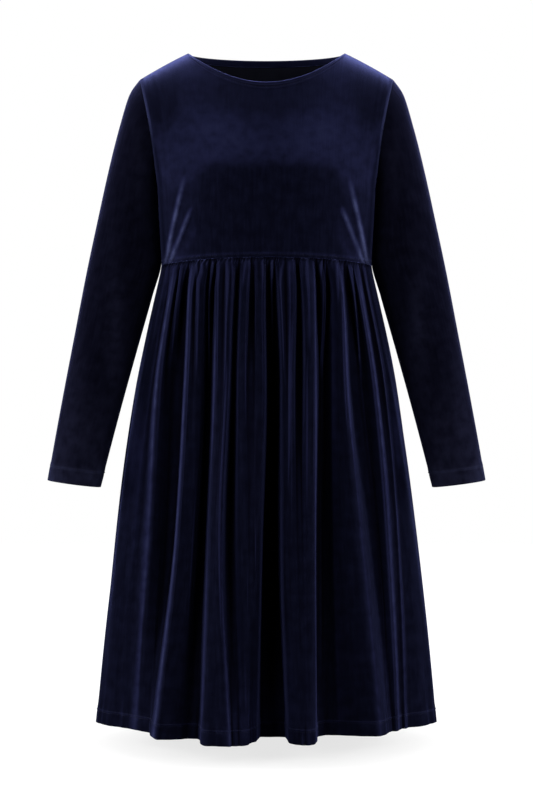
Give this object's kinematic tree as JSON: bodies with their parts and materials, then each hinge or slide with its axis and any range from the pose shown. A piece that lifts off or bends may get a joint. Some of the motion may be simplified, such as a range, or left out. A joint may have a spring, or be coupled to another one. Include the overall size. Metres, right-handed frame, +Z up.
{
  "type": "a-line dress",
  "caption": "Worn-form velvet dress: scoop neck, long set-in sleeves, high waist seam and a gathered A-line skirt, hollow and open at neck, cuffs and hem.",
  "frame": {"origin": "midway between the two shoulder-neck points, where the wearer's shoulders hold the dress", "axes": "+Z up along the wearer, the front faces -Y, +X is the wearer's left"},
  "size_m": [0.6492, 0.4188, 1.0005],
  "materials": {
    "velvet": "matt navy velvet jersey, short pile, brighter where it turns away"
  },
  "bodies": {
    "root": {"bodice_front": "velvet", "bodice_back": "velvet", "neck_hem": "velvet", "sleeve_left": "velvet", "sleeve_right": "velvet", "skirt_front": "velvet", "skirt_back": "velvet"}
  },
  "joints": []
}
